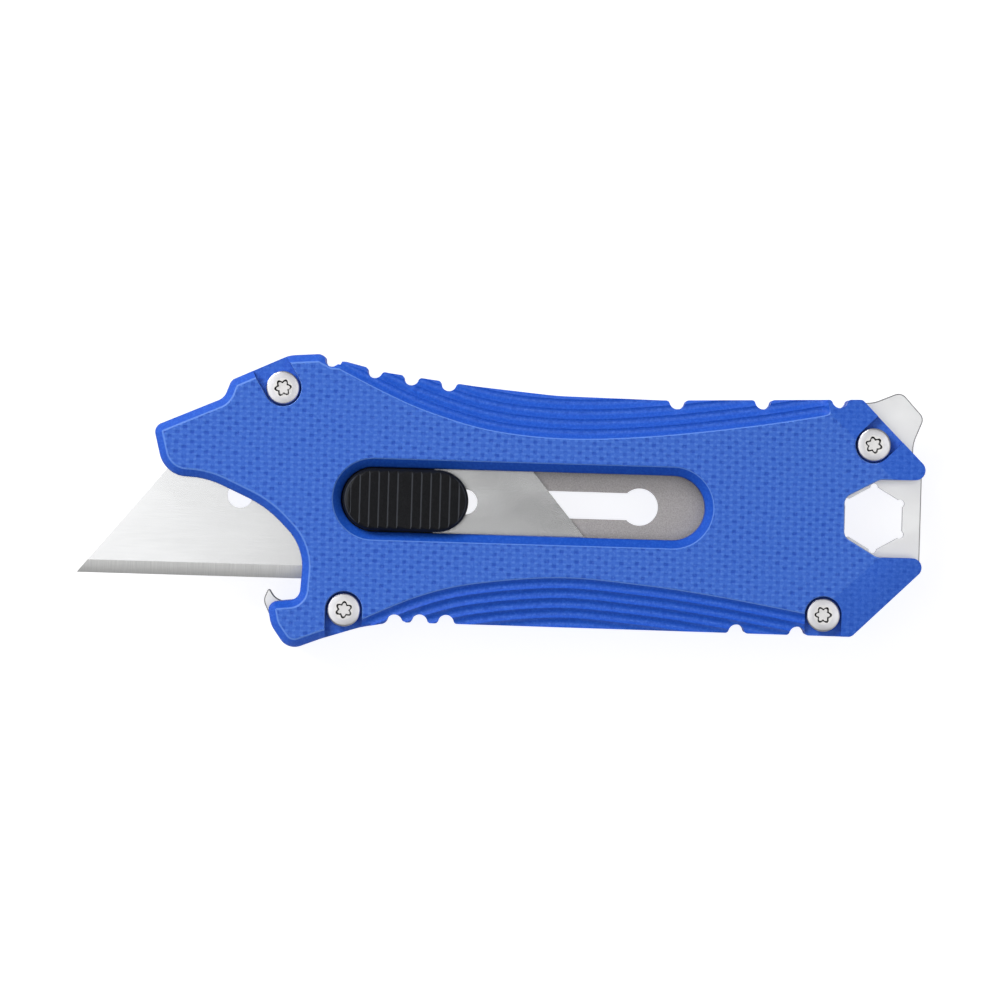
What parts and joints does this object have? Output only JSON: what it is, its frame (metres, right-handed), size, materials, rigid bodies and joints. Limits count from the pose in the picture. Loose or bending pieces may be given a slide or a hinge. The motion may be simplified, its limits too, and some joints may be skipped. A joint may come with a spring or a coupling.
{
  "type": "utility knife",
  "caption": "Pocket utility knife: sliding trapezoid blade and a steel tool plate between two blue laminate scales.",
  "frame": {"origin": "centre of the bounding box at its underside: z = 0 is the back scale's outer face, on which the knife lies", "axes": "+X from the blade tip to the rear, along the length; +Y towards the spine; +Z out of the button side, through the thickness"},
  "size_m": [0.0942, 0.0327, 0.0118],
  "materials": {
    "laminate": "woven glass laminate, cloth texture on the faces, machined edges",
    "plate_steel": "bead-blasted stainless",
    "blade_steel": "satin ground, finer on the bevel",
    "fastener_steel": "turned stainless",
    "button_plastic": "moulded, satin",
    "carrier_plastic": "moulded acetal"
  },
  "bodies": {
    "handle": {"front_scale": "laminate", "back_scale": "laminate", "tool_plate": "plate_steel", "pillar_nose": "fastener_steel", "pillar_belly": "fastener_steel", "pillar_horn": "fastener_steel", "pillar_heel": "fastener_steel", "screw_front_nose": "fastener_steel", "screw_front_belly": "fastener_steel", "screw_front_horn": "fastener_steel", "screw_front_heel": "fastener_steel", "screw_back_nose": "fastener_steel", "screw_back_belly": "fastener_steel", "screw_back_horn": "fastener_steel", "screw_back_heel": "fastener_steel"},
    "carriage": {"blade": "blade_steel", "blade_carrier": "carrier_plastic", "return_spring": "fastener_steel"},
    "button": {"thumb_button": "button_plastic", "lock_stem": "fastener_steel", "lock_shuttle": "plate_steel", "stem_nut": "fastener_steel"}
  },
  "joints": [
    {"name": "blade_slide", "type": "slide", "parent": "handle", "child": "carriage", "axis": [1, 0, 0], "range_m": [0, 0.0261]},
    {"name": "button_press", "type": "slide", "parent": "carriage", "child": "button", "axis": [0, 0, -1], "range_m": [0, 0.0009], "stiffness_N_per_m": 400, "deforming": ["return_spring"]}
  ]
}
